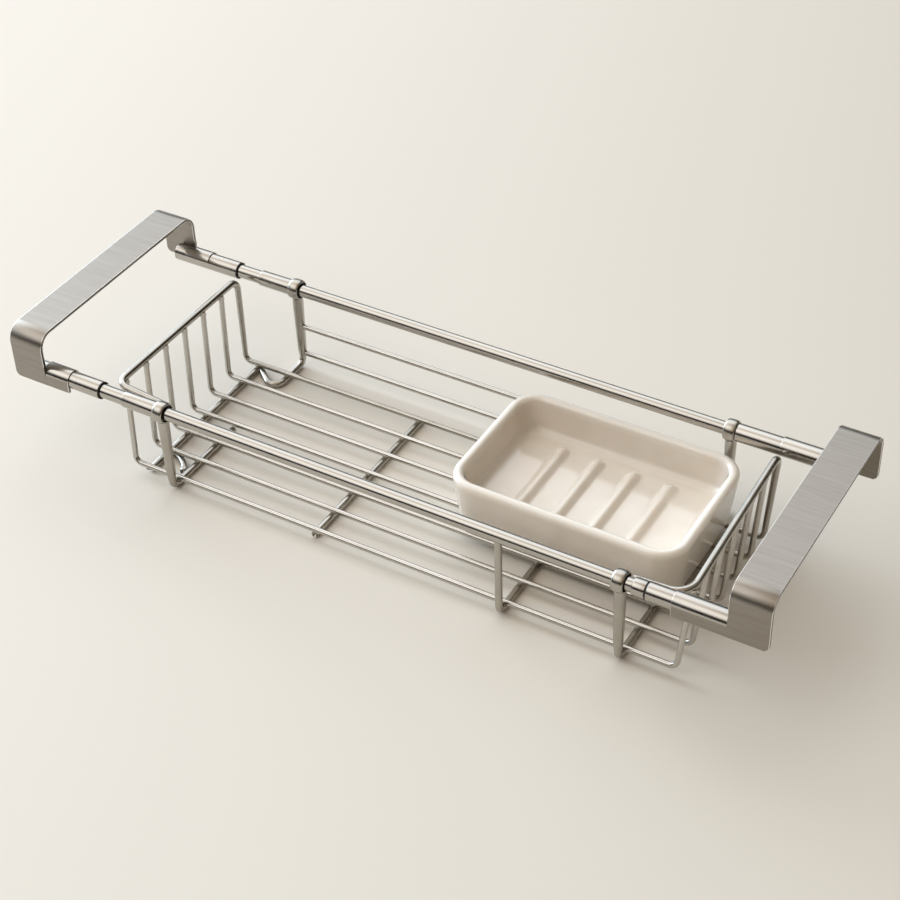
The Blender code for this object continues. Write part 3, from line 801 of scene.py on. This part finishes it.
def soap_dish():
    """The glazed dish, with ribs on its bowl's floor and a recess under it."""
    middle = (dish_low + dish_high) / 2
    half_x = (dish_high.x - dish_low.x) / 2
    half_y = (dish_high.y - dish_low.y) / 2
    height = dish_high.z - dish_low.z
    bowl_floor = height - dish_bowl_depth
    shape = bmesh.new()
    rings = []
    for inset, level in dish_section(height, bowl_floor, half_y):
        corner = min(max(dish_corner - inset, dish_inner_corner), half_y - inset)
        ring = []
        for x, y in loop_points(half_x - inset, half_y - inset, corner):
            rise = rib_rise(x, y) if level == bowl_floor else 0
            ring.append(shape.verts.new((middle.x + x, middle.y + y, dish_low.z + level + rise)))
        rings.append(ring)
    skin(shape, rings)
    shape.faces.new(rings[0])
    bmesh.ops.remove_doubles(shape, verts=shape.verts, dist=dish_merge)
    dress(riding_object("glazed_dish", shape, "soap_dish"), glaze, "glaze", "soap_dish")


# Materials
# A scale of noise is in features a metre, and a band is the part of the noise that shows.

streak_band = (0.3, 0.7)
streak_detail = 2.0
grain_tone_band = (0.3, 0.75)
grain_rough_band = (0.3, 0.7)
grain_detail = 3.0
grain_strength = 0.7
wire_grain = (3000, 3000, 3000)
wire_streak = (40, 90, 90)
wire_grain_depth = 0.0003 * MM

glaze_dark = (0.765, 0.695, 0.605)
glaze_light = (0.81, 0.745, 0.66)
# The top of the rim is painted lighter: painted light where light falls on the rim.
glaze_rim_painted_light = (0.92, 0.87, 0.795)
painted_rim_light_share = 0.85
painted_rim_light_fade = 5 * MM
glaze_cloud = (45, 45, 45)
glaze_cloud_detail = 2.0
glaze_cloud_band = (0.35, 0.65)
glaze_speck = (0.55, 0.46, 0.34)
glaze_speck_scale = (900, 900, 900)
glaze_speck_detail = 1.0
glaze_speck_band = (0.74, 0.80)
glaze_speck_share = 0.25
glaze_roughness = 0.13
glaze_specular = 0.2
glaze_coat_roughness = 0.04
glaze_depth_share = 0.35
glaze_depth = 5 * MM
glaze_depth_spread = (1.0, 0.9, 0.8)
glaze_wave = (70, 70, 70)
glaze_wave_detail = 1.0
glaze_wave_depth = 0.35 * MM
glaze_wave_strength = 0.5
bare_clay = (0.70, 0.64, 0.56)
clay_roughness = 0.75
clay_rise = (0.9 * MM, 0.6 * MM)

nylon_dark = (0.010, 0.010, 0.010)
nylon_light = (0.022, 0.021, 0.020)
nylon_grain = (2500, 2500, 2500)
nylon_detail = 2.0
nylon_band = (0.3, 0.7)
nylon_roughness = (0.35, 0.55)
nylon_grain_depth = 0.02 * MM


def new_material(name):
    """A material with its nodes, its links and its shader."""
    material = bpy.data.materials.new(name)
    material.use_nodes = True
    nodes = material.node_tree.nodes
    return material, nodes, material.node_tree.links, nodes["Principled BSDF"]


def noise(nodes, links, scale, detail, roughness=0.5):
    """Noise that is stretched along the axes by its scale."""
    place = nodes.new("ShaderNodeTexCoord")
    mapping = nodes.new("ShaderNodeMapping")
    mapping.inputs["Scale"].default_value = scale
    texture = nodes.new("ShaderNodeTexNoise")
    texture.inputs["Scale"].default_value = 1.0
    texture.inputs["Detail"].default_value = detail
    texture.inputs["Roughness"].default_value = roughness
    links.new(place.outputs["Object"], mapping.inputs["Vector"])
    links.new(mapping.outputs["Vector"], texture.inputs["Vector"])
    return texture.outputs["Fac"]


def mapped(nodes, links, value, source, target=(0, 1), smooth=False):
    """A value carried from one span to another, and held at the ends."""
    node = nodes.new("ShaderNodeMapRange")
    if smooth:
        node.interpolation_type = "SMOOTHSTEP"
    node.inputs["From Min"].default_value = source[0]
    node.inputs["From Max"].default_value = source[1]
    node.inputs["To Min"].default_value = target[0]
    node.inputs["To Max"].default_value = target[1]
    links.new(value, node.inputs["Value"])
    return node.outputs["Result"]


def mixed(nodes, links, share, first, second):
    """A mix of two colours, each a fixed one or the output of a node."""
    node = nodes.new("ShaderNodeMix")
    node.data_type = "RGBA"
    links.new(share, node.inputs["Factor"])
    for socket, colour in ((node.inputs["A"], first), (node.inputs["B"], second)):
        if isinstance(colour, tuple):
            socket.default_value = (*colour, 1.0)
        else:
            links.new(colour, socket)
    return node.outputs["Result"]


def bumped(nodes, links, shader, height, distance, strength=1.0):
    """Small relief on a surface."""
    bump = nodes.new("ShaderNodeBump")
    bump.inputs["Strength"].default_value = strength
    bump.inputs["Distance"].default_value = distance
    links.new(height, bump.inputs["Height"])
    links.new(bump.outputs["Normal"], shader.inputs["Normal"])


def steel(name, dark, light, roughness, grain, streak, grain_depth):
    """Steel with a fine grain and slow changes of tone."""
    material, nodes, links, shader = new_material(name)
    shader.inputs["Metallic"].default_value = 1.0
    fine = noise(nodes, links, grain, grain_detail, grain_strength)
    broad = noise(nodes, links, streak, streak_detail)
    tone = mixed(nodes, links, mapped(nodes, links, broad, streak_band), dark, light)
    fine_tone = mixed(nodes, links, mapped(nodes, links, fine, grain_tone_band), tone, light)
    links.new(fine_tone, shader.inputs["Base Color"])
    links.new(mapped(nodes, links, fine, grain_rough_band, roughness), shader.inputs["Roughness"])
    bumped(nodes, links, shader, fine, grain_depth)
    return material


def glaze_material():
    """Cream glaze: clouded and a little specked, with painted light on the rim, bare clay under the foot.
    """
    material, nodes, links, shader = new_material("cream_glaze")
    place = nodes.new("ShaderNodeTexCoord")
    split = nodes.new("ShaderNodeSeparateXYZ")
    links.new(place.outputs["Object"], split.inputs["Vector"])
    height = split.outputs["Z"]
    cloud = noise(nodes, links, glaze_cloud, glaze_cloud_detail)
    speck = noise(nodes, links, glaze_speck_scale, glaze_speck_detail)
    tone = mixed(nodes, links, mapped(nodes, links, cloud, glaze_cloud_band), glaze_dark, glaze_light)
    # Painted light: the glaze grows lighter towards the top of the rim.
    painted_rim_span = (dish_high.z - painted_rim_light_fade, dish_high.z)
    painted_rim_share = mapped(nodes, links, height, painted_rim_span, (0, painted_rim_light_share))
    tone = mixed(nodes, links, painted_rim_share, tone, glaze_rim_painted_light)
    specks = mapped(nodes, links, speck, glaze_speck_band, (0, glaze_speck_share))
    tone = mixed(nodes, links, specks, tone, glaze_speck)
    bare_span = (dish_low.z + clay_rise[0], dish_low.z + clay_rise[1])
    bare = mapped(nodes, links, height, bare_span)
    links.new(mixed(nodes, links, bare, tone, bare_clay), shader.inputs["Base Color"])
    roughness = mapped(nodes, links, bare, (0, 1), (glaze_roughness, clay_roughness))
    links.new(roughness, shader.inputs["Roughness"])
    shader.inputs["Specular IOR Level"].default_value = glaze_specular
    shader.inputs["Coat Weight"].default_value = 1.0
    shader.inputs["Coat Roughness"].default_value = glaze_coat_roughness
    shader.inputs["Subsurface Weight"].default_value = glaze_depth_share
    shader.inputs["Subsurface Scale"].default_value = glaze_depth
    shader.inputs["Subsurface Radius"].default_value = glaze_depth_spread
    wave = noise(nodes, links, glaze_wave, glaze_wave_detail)
    bumped(nodes, links, shader, wave, glaze_wave_depth, glaze_wave_strength)
    return material


def nylon_material():
    """Black nylon with a fine grain."""
    material, nodes, links, shader = new_material("black_nylon")
    grain = noise(nodes, links, nylon_grain, nylon_detail)
    links.new(mixed(nodes, links, grain, nylon_dark, nylon_light), shader.inputs["Base Color"])
    links.new(mapped(nodes, links, grain, nylon_band, nylon_roughness), shader.inputs["Roughness"])
    bumped(nodes, links, shader, grain, nylon_grain_depth)
    return material


wire_steel = steel(
    "wire_steel",
    dark=(0.37, 0.345, 0.305),
    light=(0.47, 0.445, 0.40),
    roughness=(0.23, 0.28),
    grain=wire_grain,
    streak=wire_streak,
    grain_depth=wire_grain_depth,
)
# The wire steel made lighter for the thin wires: a painted highlight, not a different steel.
thin_wire_steel_painted_highlight = steel(
    "thin_wire_steel_painted_highlight",
    dark=(0.47, 0.445, 0.405),
    light=(0.57, 0.545, 0.505),
    roughness=(0.22, 0.27),
    grain=wire_grain,
    streak=wire_streak,
    grain_depth=wire_grain_depth,
)
rail_steel = steel(
    "rail_steel",
    dark=(0.39, 0.365, 0.33),
    light=(0.48, 0.455, 0.415),
    roughness=(0.16, 0.25),
    grain=(60, 2200, 2200),
    streak=(12, 200, 200),
    grain_depth=0.001 * MM,
)
strip_steel = steel(
    "strip_steel",
    dark=(0.262, 0.236, 0.206),
    light=(0.324, 0.296, 0.261),
    roughness=(0.28, 0.38),
    grain=(45, 1800, 1800),
    streak=(30, 600, 600),
    grain_depth=0.003 * MM,
)
# Sheared edges of the strips: raw steel, rougher than the brushed faces, and dark enough to draw a
# painted-shade outline along the edges.
cut_steel_painted_shade = steel(
    "cut_steel_painted_shade",
    dark=(0.12, 0.105, 0.09),
    light=(0.21, 0.19, 0.165),
    roughness=(0.32, 0.48),
    grain=(900, 300, 900),
    streak=(120, 60, 120),
    grain_depth=0.01 * MM,
)
# Rounded rims of the strips: polished steel, smoother than the brushed faces, with a much lighter base
# colour that is a painted highlight.
edge_steel_painted_highlight = steel(
    "edge_steel_painted_highlight",
    dark=(0.78, 0.765, 0.74),
    light=(0.88, 0.87, 0.85),
    roughness=(0.14, 0.22),
    grain=(200, 900, 900),
    streak=(40, 80, 80),
    grain_depth=0.004 * MM,
)
glaze = glaze_material()
nylon = nylon_material()


# The caddy


def build_basket():
    """The bent and straight wires, the shanks and the welds."""
    floor_ys = [floor_wire(number) for number in range(1, floor_wires + 1)]
    floor_ys.append(rear_floor_y)
    rim_wire()
    end_x = straight_rod("end_cross_wire", foot_radius, trim=cross_trim)
    centre_x = straight_rod("centre_cross_wire", foot_radius)
    for node in ("upper_side_wire", "lower_side_wire"):
        straight_rod(node, side_radius, stretch=shank_radius)
    post_x = mid_post()
    arch_link(end_x)
    straight_hanger("front_left_hanger", left_x, front_y)
    straight_hanger("front_right_hanger", right_x, front_y)
    straight_hanger("rear_right_hanger", right_x, rear_y)
    looped_hanger("rear_left_hanger", left_x, rear_y, end_x)
    crossings = {
        "front_left_hanger": left_x,
        "front_right_hanger": right_x,
        "rear_left_hanger": left_x,
        "rear_right_hanger": right_x,
        "end_cross_wire": end_x,
        "centre_cross_wire": centre_x,
        "mid_post": post_x,
    }
    welds(crossings, floor_ys)


def build_fittings():
    """The rails with what is turned on their axes, and the two brackets."""
    for side in ("front", "rear"):
        rail(f"{side}_rail")
        eyelet(f"{side}_left_ring")
        eyelet(f"{side}_right_ring")
        rail_end(f"{side}_left_rail_end", -1, half_height("front_left_rail_end"), collar_length)
        sleeve(f"{side}_left_sleeve", -1, "left_bracket")
        sleeve(f"{side}_right_sleeve", 1, "right_bracket")
    rail_end("front_right_rail_end", 1, half_height("front_right_rail_end"), stop_collar_length)
    rail_end("rear_right_rail_end", 1)
    strip("left_bracket_strip", "front_left_sleeve", "left_bracket", -1)
    strip("right_bracket_strip", "front_right_sleeve", "right_bracket", 1)
    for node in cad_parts.values():
        if node.name.endswith(("ring_bush", "glide")):
            node.data.materials.clear()
            node.data.materials.append(nylon)


# Stage, light and camera
# An azimuth is counted from +X towards +Y in the light, and from -Y towards +X for the camera.

floor_half = 4.0
floor_drop = 0.2 * MM
# The floor's colour fades from its lit side to its shaded side along floor_heading: painted light and
# shade.
floor_painted_light = (0.942, 0.904, 0.838)
floor_painted_shade = (0.66, 0.617, 0.539)
floor_fade = 0.45
floor_heading = (0.96, 0.28, 0)
floor_roughness = 0.9
floor_specular = 0.1
bright_azimuth = math.radians(210)
horizon_end = math.radians(20)
ceiling_start = math.radians(38)
ceiling_strength = 0.50
ceiling_colour = (1.22, 1.0, 0.76)
glow_core_share = 0.2
window_colour = (0.81, 0.98, 1.15)
sky_colour = (0.88, 1.0, 1.13)
window_light = {"azimuth": 167, "elevation": 10, "half_width": 40, "colour": window_colour, "strength": 7.2}
front_light = {"azimuth": 228, "elevation": 48, "half_width": 35, "colour": sky_colour, "strength": 1.2}
back_light = {"azimuth": 126, "elevation": 48, "half_width": 45, "colour": sky_colour, "strength": 1.5}
camera_azimuth = math.radians(31.522)
camera_elevation = math.radians(39.525)
camera_roll = math.radians(-1.984)
camera_distance = 1.0492
camera_target = Vector((0.02493, -0.01994, 0.0569))
camera_lens = 77.94
camera_clip = 0.01
sensor_width = 36.0


def direction(azimuth, elevation):
    """The unit vector towards an azimuth and an elevation."""
    level = math.cos(elevation)
    return Vector((level * math.cos(azimuth), level * math.sin(azimuth), math.sin(elevation)))


def lean_towards(nodes, links, place, heading):
    """How far a place or a view leans towards a heading."""
    node = nodes.new("ShaderNodeVectorMath")
    node.operation = "DOT_PRODUCT"
    node.inputs[1].default_value = heading
    links.new(place, node.inputs[0])
    return node.outputs["Value"]


def tinted(nodes, links, level, colour):
    """A colour at a level that changes from place to place."""
    scale = nodes.new("ShaderNodeVectorMath")
    scale.operation = "SCALE"
    scale.inputs[0].default_value = colour
    links.new(level, scale.inputs["Scale"])
    return scale.outputs["Vector"]


def build_floor():
    """A plain pale floor whose colour grows darker to one side: painted shade for the light's falloff."""
    shape = bmesh.new()
    for x, y in ((-1, -1), (1, -1), (1, 1), (-1, 1)):
        shape.verts.new((x * floor_half, y * floor_half, -floor_drop))
    shape.faces.new(shape.verts)
    floor = loose_object("floor", shape)
    material, nodes, links, shader = new_material("floor")
    shader.inputs["Roughness"].default_value = floor_roughness
    shader.inputs["Specular IOR Level"].default_value = floor_specular
    place = nodes.new("ShaderNodeTexCoord").outputs["Object"]
    lean = lean_towards(nodes, links, place, floor_heading)
    share = mapped(nodes, links, lean, (-floor_fade, floor_fade))
    links.new(mixed(nodes, links, share, floor_painted_light, floor_painted_shade), shader.inputs["Base Color"])
    floor.data.materials.append(material)


def ceiling(nodes, links, place):
    """The studio's ceiling, which starts above a dark horizon and is brighter on one side."""
    upward = lean_towards(nodes, links, place, Vector((0, 0, 1)))
    sideways = lean_towards(nodes, links, place, direction(bright_azimuth, 0))
    span = (math.sin(horizon_end), math.sin(ceiling_start))
    product = nodes.new("ShaderNodeMath")
    product.operation = "MULTIPLY"
    links.new(mapped(nodes, links, upward, span, smooth=True), product.inputs[0])
    links.new(mapped(nodes, links, sideways, (-1, 1), (0, 2 * ceiling_strength)), product.inputs[1])
    return tinted(nodes, links, product.outputs["Value"], ceiling_colour)


def glow(nodes, links, place, azimuth, elevation, half_width, colour, strength):
    """A soft patch of light in the studio, which fades out to its half width. Angles are in degrees."""
    heading = direction(math.radians(azimuth), math.radians(elevation))
    angle = nodes.new("ShaderNodeMath")
    angle.operation = "ARCCOSINE"
    links.new(lean_towards(nodes, links, place, heading), angle.inputs[0])
    edge = math.radians(half_width)
    span = (edge, edge * glow_core_share)
    level = mapped(nodes, links, angle.outputs["Value"], span, (0, strength), smooth=True)
    return tinted(nodes, links, level, colour)


def build_world():
    """A studio with a soft ceiling and three soft lights: a low window, one in front, one behind."""
    world = bpy.data.worlds.new("studio")
    bpy.context.scene.world = world
    world.use_nodes = True
    nodes = world.node_tree.nodes
    links = world.node_tree.links
    place = nodes.new("ShaderNodeTexCoord").outputs["Generated"]
    total = ceiling(nodes, links, place)
    for light in (window_light, front_light, back_light):
        added = nodes.new("ShaderNodeVectorMath")
        links.new(total, added.inputs[0])
        links.new(glow(nodes, links, place, **light), added.inputs[1])
        total = added.outputs["Vector"]
    links.new(total, nodes["Background"].inputs["Color"])


def build_camera():
    """The camera, aimed at its target and turned a little about its own axis."""
    back = direction(camera_azimuth - math.pi / 2, camera_elevation)
    level = Vector((0, 0, 1)).cross(back).normalized()
    upright = back.cross(level)
    right = level * math.cos(camera_roll) + upright * math.sin(camera_roll)
    up = upright * math.cos(camera_roll) - level * math.sin(camera_roll)
    data = bpy.data.cameras.new("camera")
    data.lens = camera_lens
    data.sensor_width = sensor_width
    data.clip_start = camera_clip
    camera = bpy.data.objects.new("camera", data)
    bpy.context.scene.collection.objects.link(camera)
    turn = Matrix((right, up, back)).transposed().to_4x4()
    camera.matrix_world = Matrix.Translation(camera_target + back * camera_distance) @ turn
    bpy.context.scene.camera = camera


build_basket()
build_fittings()
soap_dish()
build_floor()
build_world()
build_camera()
bpy.context.scene.view_settings.view_transform = "Standard"
